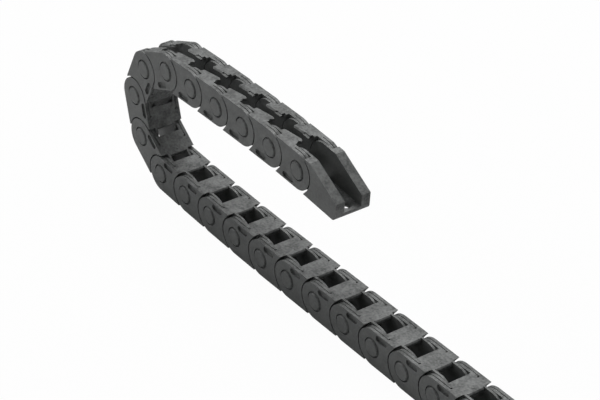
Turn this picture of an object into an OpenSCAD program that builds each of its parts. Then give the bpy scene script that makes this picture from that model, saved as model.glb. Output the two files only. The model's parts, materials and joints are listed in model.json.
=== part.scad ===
// Cable drag chain: a row of hinged link frames between a moving and a
// fixed end bracket, bent back over itself into a U.
// Millimetres. +X runs along the lower run to the fixed bracket, +Y across
// the width, +Z up. The lower run lies on z = 0, and the middle of the
// fixed bracket's two screw holes is at x = 0.
// In a link, x runs from its bored front end to its pinned rear end and
// +z is the side facing the inside of the bend.

/* [Chain] */
// distance between two neighbouring pivots
pitch = 20; // [16:0.5:30]
// height of a link across the side plates
link_h = 17.4; // [14:0.2:26]
// clear width of the cable channel between the tongues
inner_w = 8.6; // [6:0.2:24]
// radius of the tightest bend, measured at the pivots
bend_r = 28; // [24:1:60]
// number of links between the two brackets
links = 21; // [15:1:34]
// pivots left between the bend and the fixed bracket
lower_pivots = 11; // [8:1:20]
// how far the rest pose is bent in all, in degrees
bend_total = 175.43; // [160:0.5:182]

/* [Walls] */
// thickness of the tongue that carries a pin
tongue_t = 1.05; // [0.8:0.05:2]
// thickness of the bored plate outside the tongue
plate_t = 3.05; // [2.4:0.05:5]
// thickness of the panel on the inner side
panel_t = 1.6; // [1.2:0.1:3]
// thickness of the two half bars on the outer side
bar_t = 1.2; // [1:0.1:2.5]
// clear slot between the two half bars, for laying the cable in
slot_w = 3.6; // [2:0.1:6]

/* [Hinge] */
// diameter of the bore in the front plate
bore_d = 8.7; // [6:0.1:12]
// radial play of the pin in its bore
pin_play = 0.05; // [0.02:0.01:0.09]
// how far the head of the pin stands out of the plate face
pin_proud = 0.5; // [0.2:0.1:1]
// chamfer round the head of the pin
pin_chamfer = 0.4; // [0.2:0.1:0.8]
// width of the open ring between the pin's head and the bore's mouth
mouth_gap = 0.6; // [0.3:0.05:0.9]
// depth of the widened mouth of the bore
mouth_t = 0.9; // [0.5:0.1:1.5]
// play between tongue and plate across the width
side_play = 0.3; // [0.2:0.05:0.6]
// play between the plate's round end and the nest it turns in
nest_play = 0.65; // [0.4:0.05:1]
// rise of the straight end of the nest, in degrees
nest_rise = 52; // [48:1:60]

/* [Brackets] */
// length of the moving bracket beyond its pivot
moving_l = 27.5; // [22:0.5:45]
// length of the fixed bracket beyond its pivot
fixed_l = 34; // [28:0.5:50]
// height left at the free end of a bracket wall
bracket_end_h = 8.5; // [6:0.5:12]
// thickness of a bracket floor
floor_t = 3; // [2:0.1:5]
// diameter of the screw holes
screw_d = 3.4; // [2.5:0.1:5]
// diameter of the countersinks
head_d = 6.6; // [5:0.1:9]

/* [Hidden] */
half_h = link_h / 2;
chan = inner_w / 2;
tongue_y = chan + tongue_t;
plate_y = tongue_y + side_play;
half_w = plate_y + plate_t;
bend_max = 2 * asin(pitch / (2 * bend_r));
relief_r = half_h + 0.3;
nest_r = half_h + nest_play;
panel_x0 = relief_r * sqrt(1 - pow((half_h - panel_t) / relief_r, 2)) + 0.1;
panel_x1 = pitch - 4;
bar_x0 = 0.31 * pitch;
bar_x1 = pitch - 2.3;
bar_step_x = 0.55 * pitch;
mouth_r = bore_d / 2 + mouth_gap / 2;
head_r = bore_d / 2 - mouth_gap / 2;
groove_y = half_w - 1.75;
groove_t = 0.8;
dent_x = 0.46 * pitch;
first_low = links - lower_pivots;
fixed_hole_a = relief_r + 5.5;
fixed_hole_b = fixed_l - 6;
end_pivot_x = -(fixed_hole_a + fixed_hole_b) / 2;

function name_of(i) = str("link_", i < 10 ? "0" : "", i);

// shares of the full bend at the pivots next above the lower run
shares = [0.823, 0.9274, 0.98566, 0.9761];
function share(j) = j < len(shares) ? shares[j] : shares[len(shares) - 1];
function bent(j) = j < 0 ? 0 : bent(j - 1) + bend(j);
function bend(j) =
    let(left = bend_total - (j > 0 ? bent(j - 1) : 0))
    max(0, min(share(j) * bend_max, left));

// small bends left in the two straight runs by the play of the hinges
slack_low = [1.0, 0.6, 0.6, 1.0];
slack_high = [1.9, 2.05, 1.0, 0.6, 1.0];
function slack(k) =
    k >= first_low && k < first_low + len(slack_low) ? slack_low[k - first_low]
    : k < len(slack_high) ? slack_high[k] : 0;

// bend at pivot k, counted from the moving bracket
function angle_at(k) = k < first_low ? max(bend(first_low - 1 - k), slack(k)) : slack(k);

// heading of link i: minus the sum of the bends between it and the fixed end
function heading(i) = i > links ? 0 : heading(i + 1) - angle_at(i);

// place of pivot k in the x-z plane
function pivot(k) =
    k >= links ? [end_pivot_x, half_h]
    : pivot(k + 1) - pitch * [cos(heading(k + 1)), sin(heading(k + 1))];

module at_heading(p, turn) {
    translate([p[0], 0, p[1]])
        rotate([0, -turn, 0])
            children();
}

module slab(y_from, y_to) {
    translate([0, y_to, 0])
        rotate([90, 0, 0])
            linear_extrude(y_to - y_from)
                children();
}

module both_sides(y_from, y_to) {
    slab(y_from, y_to) children();
    slab(-y_to, -y_from) children();
}

// round end of a plate and its straight part up to x = to_x
module round_front(to_x) {
    circle(r = half_h, $fn = 96);
    translate([0, -half_h])
        square([to_x, link_h]);
}

// space swept by the neighbour's tongue round the front pivot, and open to
// the front edges of the panel and the half bars
module front_relief() {
    circle(r = relief_r, $fn = 96);
    rotate(-bend_max)
        translate([-pitch, -relief_r])
            square([pitch, 2 * relief_r]);
    square([panel_x0, relief_r]);
    translate([0, -relief_r])
        square([bar_x0 - 0.2, relief_r]);
}

// space swept by the neighbour's plate round the rear pivot
module rear_nest() {
    circle(r = nest_r, $fn = 96);
    translate([0, -nest_r])
        square([pitch, 2 * nest_r]);
    rotate(nest_rise)
        translate([0, -nest_r])
            square([pitch, 2 * nest_r]);
    polygon([[-4.9, -half_h - 0.1], [-4.1, -half_h + 0.9], [0, -half_h + 0.9], [0, -half_h - 0.1]]);
}

// outward pins on the tongues, each with a narrower head in the bore's mouth
module pins() {
    root = tongue_y - tongue_t / 2;
    neck = half_w - mouth_t;
    top = half_w + pin_proud;
    for (s = [0, 180])
        rotate([-90 + s, 0, 0]) {
            translate([0, 0, root])
                cylinder(r = bore_d / 2 - pin_play, h = neck - root, $fn = 96);
            translate([0, 0, root])
                cylinder(r = head_r, h = top - pin_chamfer - root, $fn = 96);
            translate([0, 0, top - pin_chamfer])
                cylinder(r1 = head_r, r2 = head_r - pin_chamfer, h = pin_chamfer, $fn = 96);
        }
}

// widened mouths of the two bores
module mouths() {
    both_sides(half_w - mouth_t, half_w + 1)
        circle(r = mouth_r, $fn = 96);
}

// narrow groove in the edge of each front plate: along the inner side, round
// the front and a little way along the outer side, with a dent at its start
module edge_grooves() {
    both_sides(groove_y, groove_y + 0.35) {
        difference() {
            translate([-half_h - 1, -half_h - 1])
                square([half_h + 1 + 0.2 * pitch, link_h + 2]);
            circle(r = half_h - groove_t, $fn = 96);
            translate([0, -half_h + groove_t])
                square([pitch, link_h - 2 * groove_t]);
        }
        translate([0, half_h - groove_t])
            square([dent_x, groove_t + 1]);
    }
    both_sides(groove_y - 0.7, groove_y + 0.35)
        translate([dent_x - 0.5, half_h - groove_t])
            square([0.7, groove_t + 1]);
}

// panel that closes the inner side; its rear edge is chamfered, its front
// corners are nicked beside the tongues, and an ejector pin has left a dot
module inner_panel() {
    bevel = 0.5;
    difference() {
        slab(-chan - tongue_t / 2, chan + tongue_t / 2)
            polygon([
                [panel_x0, half_h - panel_t],
                [panel_x0, half_h],
                [panel_x1 - bevel / 2, half_h],
                [panel_x1 + bevel / 2, half_h - bevel],
                [panel_x1 + bevel / 2, half_h - panel_t]
            ]);
        for (s = [-1, 1])
            translate([panel_x1 + bevel / 2, s * chan, half_h])
                cube([1.6, 0.7, 2 * panel_t + 1], center = true);
    }
    translate([0.685 * pitch, 0.3, half_h - 0.2])
        cylinder(r1 = 0.95, r2 = 0.5, h = 0.38, $fn = 32);
}

// two half bars on the outer side; their slanted ends leave the slot, and
// the far one has a sunk ledge and a lip chamfered for pressing cables in
module half_bars() {
    edge = chan + tongue_t / 2;
    step = slot_w / 2;
    lip = 0.6;
    lean = atan(0.6 / (bar_x1 - 0.5 - bar_step_x));
    translate([0, 0, -half_h])
        linear_extrude(bar_t)
            polygon([
                [bar_x0 + 0.4, -edge],
                [bar_x0 + 0.4, -chan + 0.1],
                [bar_x0 + 0.8, -chan + 1.1],
                [bar_x0, -step - 0.5],
                [bar_x0 + 0.2, -step + 0.1],
                [bar_x0 + 1.8, -step + 0.6],
                [bar_x1 - 0.5, -step - 0.8],
                [bar_x1, -step - 1.2],
                [bar_x1, -edge]
            ]);
    difference() {
        translate([0, 0, -half_h])
            linear_extrude(bar_t)
                polygon([
                    [bar_x0 + 0.3, edge],
                    [bar_x0 + 0.3, chan + 0.3],
                    [bar_x0 + 1.4, chan + 0.1],
                    [bar_x0 + 1.4, chan - 1.3],
                    [bar_x0 + 0.8, step + 0.9],
                    [bar_x0 + 0.8, step - 0.1],
                    [bar_step_x, step - 0.1],
                    [bar_step_x, step + 0.4],
                    [bar_x1 - 0.5, step - 0.2],
                    [bar_x1, step + 0.2],
                    [bar_x1, edge]
                ]);
        translate([0, step - 1, -half_h - 1])
            cube([bar_step_x, 2.2, 1.5]);
        translate([bar_step_x, step + 0.4, -half_h])
            rotate([0, 0, -lean])
                rotate([90, 0, 90])
                    linear_extrude(pitch)
                        polygon([[-1, -1], [lip + 1, -1], [-1, lip + 1]]);
    }
}

// long pocket sunk in the outer face of each side plate
module side_pockets() {
    pocket_w = 2.8;
    pocket_l = 7.4;
    mid_z = half_h - 0.7 - pocket_w / 2;
    both_sides(half_w - 1.1, half_w + 1)
        translate([0.31 * pitch, mid_z]) {
            square([pocket_l - pocket_w, pocket_w], center = true);
            translate([-(pocket_l - pocket_w) / 2, 0])
                circle(d = pocket_w, $fn = 32);
            translate([(pocket_l - pocket_w) / 2, 0])
                circle(d = pocket_w, $fn = 32);
        }
}

module link_body() {
    both_sides(chan, tongue_y)
        difference() {
            union() {
                translate([0, -half_h])
                    square([pitch, link_h]);
                translate([pitch, 0])
                    circle(r = half_h, $fn = 96);
            }
            front_relief();
        }
    both_sides(tongue_y, plate_y)
        difference() {
            translate([0, -half_h])
                square([pitch, link_h]);
            front_relief();
            translate([pitch, 0])
                rear_nest();
        }
    both_sides(plate_y, half_w)
        difference() {
            round_front(pitch);
            circle(d = bore_d, $fn = 96);
            translate([pitch, 0])
                rear_nest();
        }
    inner_panel();
    half_bars();
    translate([pitch, 0, 0])
        pins();
}

module chain_link(i) {
    color([0.33, 0.34, 0.34])
        at_heading(pivot(i - 1), heading(i))
            difference() {
                link_body();
                side_pockets();
                mouths();
                edge_grooves();
            }
}

// side wall of a bracket running to -x from its pivot, sloped on its outer side
module bracket_wall(long, flat, low) {
    polygon([
        [0, -half_h],
        [-flat, -half_h],
        [-long, low],
        [-long, half_h - 2.4],
        [-long + 2.4, half_h],
        [0, half_h]
    ]);
    translate([-long + 2.4, half_h - 2.4])
        circle(r = 2.4, $fn = 64);
}

// countersunk screw hole through a floor whose top is at z = 0, from above
module screw_hole() {
    sink = (head_d - screw_d) / 2;
    translate([0, 0, -floor_t - 1])
        cylinder(d = screw_d, h = floor_t + 2, $fn = 48);
    translate([0, 0, -sink])
        cylinder(d1 = screw_d, d2 = head_d, h = sink, $fn = 48);
    cylinder(d = head_d, h = 0.5, $fn = 48);
}

module moving_bracket() {
    slope_x = 8.4;
    low = half_h - bracket_end_h;
    color([0.33, 0.34, 0.34])
        at_heading(pivot(0), heading(0))
            difference() {
                union() {
                    both_sides(chan, tongue_y) {
                        circle(r = half_h, $fn = 96);
                        bracket_wall(moving_l, slope_x, low);
                    }
                    both_sides(tongue_y, half_w)
                        difference() {
                            bracket_wall(moving_l, slope_x, low);
                            rear_nest();
                        }
                    slab(-chan - tongue_t / 2, chan + tongue_t / 2)
                        intersection() {
                            bracket_wall(moving_l, slope_x, low);
                            translate([-moving_l, half_h - floor_t])
                                square([moving_l - 4, floor_t]);
                        }
                    pins();
                }
                for (x = [11.5, moving_l - 5])
                    translate([-x, 0, half_h - floor_t])
                        rotate([180, 0, 0])
                            screw_hole();
            }
}

module fixed_bracket() {
    slope_x = fixed_l - 19.1;
    low = half_h - bracket_end_h;
    color([0.33, 0.34, 0.34])
        at_heading(pivot(links), 0)
            difference() {
                union() {
                    both_sides(chan, plate_y)
                        difference() {
                            rotate(180)
                                bracket_wall(fixed_l, slope_x, low);
                            front_relief();
                        }
                    both_sides(plate_y, half_w)
                        difference() {
                            union() {
                                circle(r = half_h, $fn = 96);
                                rotate(180)
                                    bracket_wall(fixed_l, slope_x, low);
                            }
                            circle(d = bore_d, $fn = 96);
                        }
                    slab(-chan - tongue_t / 2, chan + tongue_t / 2)
                        intersection() {
                            rotate(180)
                                bracket_wall(fixed_l, slope_x, low);
                            translate([relief_r, -half_h])
                                square([fixed_l, floor_t]);
                        }
                }
                mouths();
                edge_grooves();
                for (x = [fixed_hole_a, fixed_hole_b])
                    translate([x, 0, -half_h + floor_t])
                        screw_hole();
            }
}

moving_bracket();
for (i = [1:links]) chain_link(i);
fixed_bracket();
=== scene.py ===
"""Looks of the cable drag chain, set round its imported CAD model.

Every link is a separate moulding of black glass-filled nylon. The script gives
the mouldings their small edge radii and their finish, and sets up the floor,
the lamps and the camera.
"""

import json
import math

import bpy
import numpy as np
from mathutils import Matrix, Vector


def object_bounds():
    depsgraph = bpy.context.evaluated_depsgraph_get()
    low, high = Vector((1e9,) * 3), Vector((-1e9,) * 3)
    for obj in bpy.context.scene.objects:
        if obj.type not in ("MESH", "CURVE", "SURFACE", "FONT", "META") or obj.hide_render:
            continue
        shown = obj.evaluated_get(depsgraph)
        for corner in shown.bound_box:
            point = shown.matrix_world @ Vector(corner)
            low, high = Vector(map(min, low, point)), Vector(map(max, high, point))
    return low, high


MM = 0.001

# camera: its lens, where it stands, and its aim, set off from the last pivot
SENSOR_MM = 36.0
LENS_MM = 132.72
AZIMUTH_DEG = 54.52
ELEVATION_DEG = 32.43
DISTANCE_MM = 1003.1
AIM_BACK_MM = 220.0
AIM_RIGHT_MM = 44.97
AIM_UP_MM = -3.6

# edge radii left by the mould
EDGE_MM = 0.19
EDGE_ANGLE_DEG = 32.0
EDGE_SEGMENTS = 2

# how near loose points are joined, and how flat a seam is to be cleared
JOIN_MM = 0.002
FLAT_DEG = 0.6

# end of the ledge in a link's far half bar, from the front pivot, and how far
# round it the edges stay sharp: along the link, across it and over its width
LEDGE_X_MM = 11.0
LEDGE_Y_MM = 2.5
LEDGE_Z_MM = -8.7
LEDGE_REACH_MM = (0.7, 0.9, 1.3)

# finish: the tool's pebble, the patches of bloom and the flecks of glass, and the
# levels of their pattern at which the surface is all resin or all bloom; the pale
# end is real bloom, and on the tops partly painted sheen
PEBBLE_MM = 0.3
PEBBLE_DEPTH_MM = 0.03
PATCH_MM = 5.0
FLECK_MM = 1.1
RESIN_LEVEL = 0.38
RESIN_COLOUR = "#404241"
RESIN_ROUGHNESS = 0.62
BLOOM_AND_SHEEN_LEVEL = 0.62
BLOOM_AND_SHEEN_COLOUR = "#686a69"
BLOOM_ROUGHNESS = 0.38

# share of the pattern that shows on tops and on side plates; the larger share on the tops is partly
# painted sheen
TOP_SHARE_WITH_SHEEN = 0.5
SIDE_SHARE = 0.13

# how white the floor looks to the camera, and how bright the surroundings are
FLOOR_WHITE = 0.97
SURROUNDINGS = 0.32

# soft boxes: name, place from the middle of the chain in metres, side, watts
LAMPS = (
    ("overhead", (-0.5, 0.45, 1.45), 1.0, 17),
    ("back_left", (-1.15, 0.82, 1.0), 1.0, 3),
    ("near_side", (-1.1, -0.84, 0.77), 0.5, 5),
)
MIDDLE_HEIGHT = 0.03

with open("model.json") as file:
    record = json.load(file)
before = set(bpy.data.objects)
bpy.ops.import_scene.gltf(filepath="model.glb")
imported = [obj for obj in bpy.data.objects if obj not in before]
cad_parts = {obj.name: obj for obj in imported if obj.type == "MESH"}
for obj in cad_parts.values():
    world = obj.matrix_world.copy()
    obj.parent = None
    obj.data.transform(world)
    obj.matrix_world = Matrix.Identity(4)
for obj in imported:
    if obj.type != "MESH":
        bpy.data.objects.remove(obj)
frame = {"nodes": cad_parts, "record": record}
cad_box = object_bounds()
pivots = {j["name"]: Vector(j["pos_m"]) for j in frame["record"]["behaviour"]["joints"]}


def linear(hex_colour):
    """An sRGB hex colour as linear RGBA: each channel through the sRGB curve."""
    value = np.array([int(hex_colour[i : i + 2], 16) / 255 for i in (1, 3, 5)])
    low = value / 12.92
    high = ((value + 0.055) / 1.055) ** 2.4
    return (*np.where(value <= 0.04045, low, high).tolist(), 1.0)


def add(tree, kind, settings=None, inputs=()):
    """Adds a node with its settings, and sets or links its inputs by name or in order.

    A socket is linked, a node is linked by its first output, and a value is set.
    """
    node = tree.nodes.new(kind)
    for name, value in (settings or {}).items():
        setattr(node, name, value)
    pairs = inputs.items() if isinstance(inputs, dict) else enumerate(inputs)
    for key, value in pairs:
        source = value.outputs[0] if isinstance(value, bpy.types.Node) else value
        if isinstance(source, bpy.types.NodeSocket):
            tree.links.new(source, node.inputs[key])
        else:
            node.inputs[key].default_value = source
    return node


def new_material(name):
    """An empty node material and its tree."""
    material = bpy.data.materials.new(name)
    material.use_nodes = True
    material.node_tree.nodes.clear()
    return material, material.node_tree


def moulded_nylon():
    """Black glass-filled polyamide, injection moulded in a spark-eroded tool.

    Glass at the skin gives a grey, satin bloom in soft patches, where the melt cooled
    in waves, and in flecks. The bloom is paler and shinier than the resin between, and
    fainter on the side plates, whose faces point along y. On the other faces, the tops
    above all, the stronger pale mottle is partly real bloom and partly painted sheen.
    The tool leaves a pebble.
    """
    material, tree = new_material("moulded_glass_filled_nylon")
    given = add(tree, "ShaderNodeTexCoord").outputs
    noises = []
    for size_mm, detail in ((PEBBLE_MM, 2.0), (PATCH_MM, 3.0), (FLECK_MM, 3.0)):
        grain = {"Vector": given["Object"], "Scale": 1 / (size_mm * MM), "Detail": detail}
        noises.append(add(tree, "ShaderNodeTexNoise", inputs=grain))
    pebble, patch, fleck = noises
    normal = add(tree, "ShaderNodeSeparateXYZ", inputs=(given["Normal"],)).outputs
    facing = add(tree, "ShaderNodeMath", {"operation": "ABSOLUTE"}, (normal["Y"],))
    fade = {"From Min": 0.6, "From Max": 0.95, "To Min": TOP_SHARE_WITH_SHEEN, "To Max": SIDE_SHARE}
    # painted sheen: the paler pattern shows more strongly on faces that don't point along y, the
    # tops above all
    bloom_and_sheen_share = add(tree, "ShaderNodeMapRange", inputs={"Value": facing} | fade)
    both = add(tree, "ShaderNodeMath", {"operation": "ADD"}, (patch, fleck))
    centred = add(tree, "ShaderNodeMath", {"operation": "SUBTRACT"}, (both, 1.0))
    bloom = add(tree, "ShaderNodeMath", {"operation": "MULTIPLY_ADD"}, (centred, bloom_and_sheen_share, 0.5))
    # the pattern's pale colour is real bloom, and on the tops partly painted sheen
    ramp = add(tree, "ShaderNodeValToRGB", inputs=(bloom,))
    ends = ((RESIN_LEVEL, RESIN_COLOUR), (BLOOM_AND_SHEEN_LEVEL, BLOOM_AND_SHEEN_COLOUR))
    for element, (place, colour) in zip(ramp.color_ramp.elements, ends):
        element.position = place
        element.color = linear(colour)
    levels = {"From Min": RESIN_LEVEL, "From Max": BLOOM_AND_SHEEN_LEVEL}
    finish = {"To Min": RESIN_ROUGHNESS, "To Max": BLOOM_ROUGHNESS}
    rough = add(tree, "ShaderNodeMapRange", inputs={"Value": bloom} | levels | finish)
    dents = {"Strength": 0.35, "Distance": PEBBLE_DEPTH_MM * MM, "Height": pebble}
    bump = add(tree, "ShaderNodeBump", inputs=dents)
    skin = {"IOR": 1.53, "Base Color": ramp, "Roughness": rough, "Normal": bump}
    shader = add(tree, "ShaderNodeBsdfPrincipled", inputs=skin)
    add(tree, "ShaderNodeOutputMaterial", inputs={"Surface": shader})
    return material


def edge_picker():
    """Node group that weighs sharp edges 1 for rounding, but those round one step of a link 0.

    At that step the ledge of the far half bar meets the lip's chamfer, and two walls
    lie almost flush. A point's place is its distance from the step along the unit
    vectors along and across, and in y.
    """
    tree = bpy.data.node_groups.new("sharp_edges", "GeometryNodeTree")
    face = tree.interface
    face.new_socket("Geometry", in_out="INPUT", socket_type="NodeSocketGeometry")
    for name in ("step", "along", "across"):
        face.new_socket(name, in_out="INPUT", socket_type="NodeSocketVector")
    face.new_socket("Geometry", in_out="OUTPUT", socket_type="NodeSocketGeometry")
    given = add(tree, "NodeGroupInput").outputs
    bend = add(tree, "GeometryNodeInputMeshEdgeAngle").outputs["Signed Angle"]
    limit = math.radians(-EDGE_ANGLE_DEG)
    sharp = add(tree, "ShaderNodeMath", {"operation": "LESS_THAN"}, (bend, limit))
    place = add(tree, "GeometryNodeInputPosition")
    offset = add(tree, "ShaderNodeVectorMath", {"operation": "SUBTRACT"}, (place, given["step"]))
    distances = []
    for axis in ("along", "across"):
        dot = {"operation": "DOT_PRODUCT"}
        product = add(tree, "ShaderNodeVectorMath", dot, (offset, given[axis]))
        distances.append(product.outputs["Value"])
    distances.append(add(tree, "ShaderNodeSeparateXYZ", inputs=(offset,)).outputs["Y"])
    far = 0.0
    for distance, reach_mm in zip(distances, LEDGE_REACH_MM):
        size = add(tree, "ShaderNodeMath", {"operation": "ABSOLUTE"}, (distance,))
        beyond = add(tree, "ShaderNodeMath", {"operation": "GREATER_THAN"}, (size, reach_mm * MM))
        far = add(tree, "ShaderNodeMath", {"operation": "MAXIMUM"}, (far, beyond))
    weight = add(tree, "ShaderNodeMath", {"operation": "MULTIPLY"}, (sharp, far))
    stored = {"Geometry": given["Geometry"], "Name": "bevel_weight_edge", "Value": weight}
    on_edges = {"data_type": "FLOAT", "domain": "EDGE"}
    store = add(tree, "GeometryNodeStoreNamedAttribute", on_edges, stored)
    add(tree, "NodeGroupOutput", inputs={"Geometry": store})
    return tree


def ledge_end(name):
    """Where a node's ledge ends, and the unit vectors along and across it.

    A link's vector along runs from its front pivot to its rear one. A bracket has no
    ledge, so its place lies a metre above the chain.
    """
    if not name.startswith("link_"):
        return Vector((0, 0, 1)), Vector((1, 0, 0)), Vector((0, 0, 1))
    number = int(name.removeprefix("link_"))
    front = pivots[f"pivot_{number - 1:02d}"]
    along = (pivots[f"pivot_{number:02d}"] - front).normalized()
    across = Vector((-along.z, 0, along.x))
    place = front + along * LEDGE_X_MM * MM + across * LEDGE_Z_MM * MM
    return place + Vector((0, LEDGE_Y_MM * MM, 0)), along, across


def round_edges(name, node, picker):
    """Joins the node's loose triangles, clears flat seams and rounds its sharp edges."""
    weld = node.modifiers.new("join", "WELD")
    weld.merge_threshold = JOIN_MM * MM
    flat = node.modifiers.new("flat_faces", "DECIMATE")
    flat.decimate_type = "DISSOLVE"
    flat.angle_limit = math.radians(FLAT_DEG)
    pick = node.modifiers.new("sharp_edges", "NODES")
    pick.node_group = picker
    given = [item for item in picker.interface.items_tree if item.in_out == "INPUT"][1:]
    for item, value in zip(given, ledge_end(name)):
        pick[item.identifier] = tuple(value)
    bevel = node.modifiers.new("edge_radius", "BEVEL")
    bevel.width = EDGE_MM * MM
    bevel.segments = EDGE_SEGMENTS
    bevel.limit_method = "WEIGHT"
    bevel.use_clamp_overlap = False
    bevel.loop_slide = False
    bevel.harden_normals = True


def view_axes(azimuth_deg, elevation_deg):
    """Right, up and back of a camera that stands at that azimuth and elevation."""
    a, e = math.radians(azimuth_deg), math.radians(elevation_deg)
    back = Vector((math.sin(a) * math.cos(e), -math.cos(a) * math.cos(e), math.sin(e)))
    right = Vector((math.cos(a), math.sin(a), 0.0))
    return right, back.cross(right), back


def set_camera():
    """Camera at the angles above, aimed at a point set off from the last pivot."""
    right, up, back = view_axes(AZIMUTH_DEG, ELEVATION_DEG)
    aim = pivots["pivot_21"] - Vector((AIM_BACK_MM * MM, 0, 0))
    aim += right * AIM_RIGHT_MM * MM + up * AIM_UP_MM * MM
    data = bpy.data.cameras.new("camera")
    data.sensor_width = SENSOR_MM
    data.lens = LENS_MM
    data.clip_start = 0.05
    data.clip_end = 20.0
    camera = bpy.data.objects.new("camera", data)
    turn = Matrix((right, up, back)).transposed().to_4x4()
    camera.matrix_world = Matrix.Translation(aim + back * DISTANCE_MM * MM) @ turn
    bpy.context.scene.collection.objects.link(camera)
    bpy.context.scene.camera = camera


def set_floor():
    """Pale floor, flat round the chain and curved up far out, so its edge lifts out of view.

    The floor is a square grid. Its height is curve times the square of how far a point
    lies beyond the flat radius, less a hair's breadth that keeps it under the chain.
    """
    side, half, flat, curve, hair = 65, 6.0, 3.0, 0.2, 0.02 * MM
    line = np.linspace(-half, half, side)
    x, y = np.meshgrid(line, line)
    rise = np.clip(np.hypot(x, y) - flat, 0, None) ** 2 * curve
    points = np.stack([x, y, rise - hair], axis=-1).reshape(-1, 3)
    i, j = np.meshgrid(np.arange(side - 1), np.arange(side - 1), indexing="ij")
    corner = i * side + j
    faces = np.stack([corner, corner + 1, corner + side + 1, corner + side], axis=-1).reshape(-1, 4)
    mesh = bpy.data.meshes.new("floor")
    mesh.from_pydata(points.tolist(), [], faces.tolist())
    floor = bpy.data.objects.new("floor", mesh)
    bpy.context.scene.collection.objects.link(floor)
    material, tree = new_material("white_studio_floor")
    paint = add(tree, "ShaderNodeBsdfDiffuse", inputs={"Color": linear("#d2d2d2")})
    glow = add(tree, "ShaderNodeEmission", inputs={"Color": linear("#ffffff"), "Strength": 1.0})
    camera_ray = add(tree, "ShaderNodeLightPath").outputs["Is Camera Ray"]
    seen = add(tree, "ShaderNodeMath", {"operation": "MULTIPLY"}, (camera_ray, FLOOR_WHITE))
    mixed = add(tree, "ShaderNodeMixShader", inputs=(seen, paint, glow))
    add(tree, "ShaderNodeOutputMaterial", inputs={"Surface": mixed})
    mesh.materials.append(material)


def set_world():
    """Even white surroundings, which the camera sees as plain white."""
    world = bpy.data.worlds.new("studio")
    world.use_nodes = True
    tree = world.node_tree
    tree.nodes.clear()
    camera_ray = add(tree, "ShaderNodeLightPath").outputs["Is Camera Ray"]
    level = {"Value": camera_ray, "To Min": SURROUNDINGS, "To Max": 1.0}
    strength = add(tree, "ShaderNodeMapRange", inputs=level)
    white = {"Color": linear("#ffffff"), "Strength": strength}
    light = add(tree, "ShaderNodeBackground", inputs=white)
    add(tree, "ShaderNodeOutputWorld", inputs={"Surface": light})
    bpy.context.scene.world = world


def set_lamps():
    """A large soft box overhead, behind and to the left, and two weaker ones at the sides."""
    middle = Vector(((cad_box[0][0] + cad_box[1][0]) / 2, 0, MIDDLE_HEIGHT))
    for name, offset, side, watts in LAMPS:
        data = bpy.data.lights.new(name, "AREA")
        data.size = side
        data.energy = watts
        lamp = bpy.data.objects.new(name, data)
        lamp.location = middle + Vector(offset)
        lamp.rotation_euler = (-Vector(offset)).to_track_quat("-Z", "Y").to_euler()
        bpy.context.scene.collection.objects.link(lamp)


nylon = moulded_nylon()
sharp_edges = edge_picker()
for name, node in frame["nodes"].items():
    node.data.materials.clear()
    node.data.materials.append(nylon)
    round_edges(name, node, sharp_edges)
set_camera()
set_floor()
set_world()
set_lamps()
bpy.context.scene.view_settings.view_transform = "Standard"
